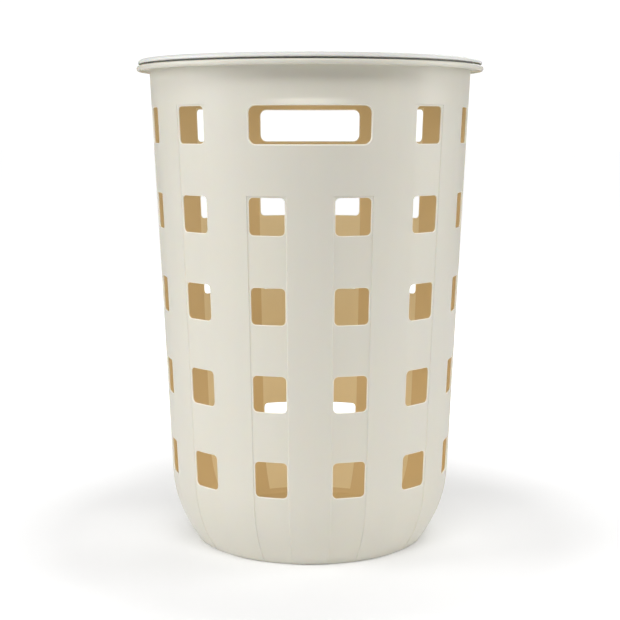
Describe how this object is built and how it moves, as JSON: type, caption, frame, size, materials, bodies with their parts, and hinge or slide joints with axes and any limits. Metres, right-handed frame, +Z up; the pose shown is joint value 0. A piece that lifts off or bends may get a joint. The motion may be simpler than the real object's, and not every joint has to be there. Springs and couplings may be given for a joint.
{
  "type": "laundry hamper",
  "caption": "Round, slightly tapered plastic laundry hamper with ventilated walls, hand slots at front and back and a loose lift-off lid.",
  "frame": {"origin": "centre of the standing ring, at floor level", "axes": "+Z up, the front hand slot faces -Y, the back one +Y"},
  "size_m": [0.404, 0.404, 0.5666],
  "materials": {
    "basket_plastic": "satin, slightly translucent cream polypropylene",
    "lid_plastic": "satin cream polypropylene"
  },
  "bodies": {
    "basket": {"basket": "basket_plastic"},
    "lid": {"lid": "lid_plastic"}
  },
  "joints": [
    {"name": "lid_lift", "type": "slide", "parent": "basket", "child": "lid", "axis": [0, 0, 1], "range_m": [0, 0.12]}
  ]
}
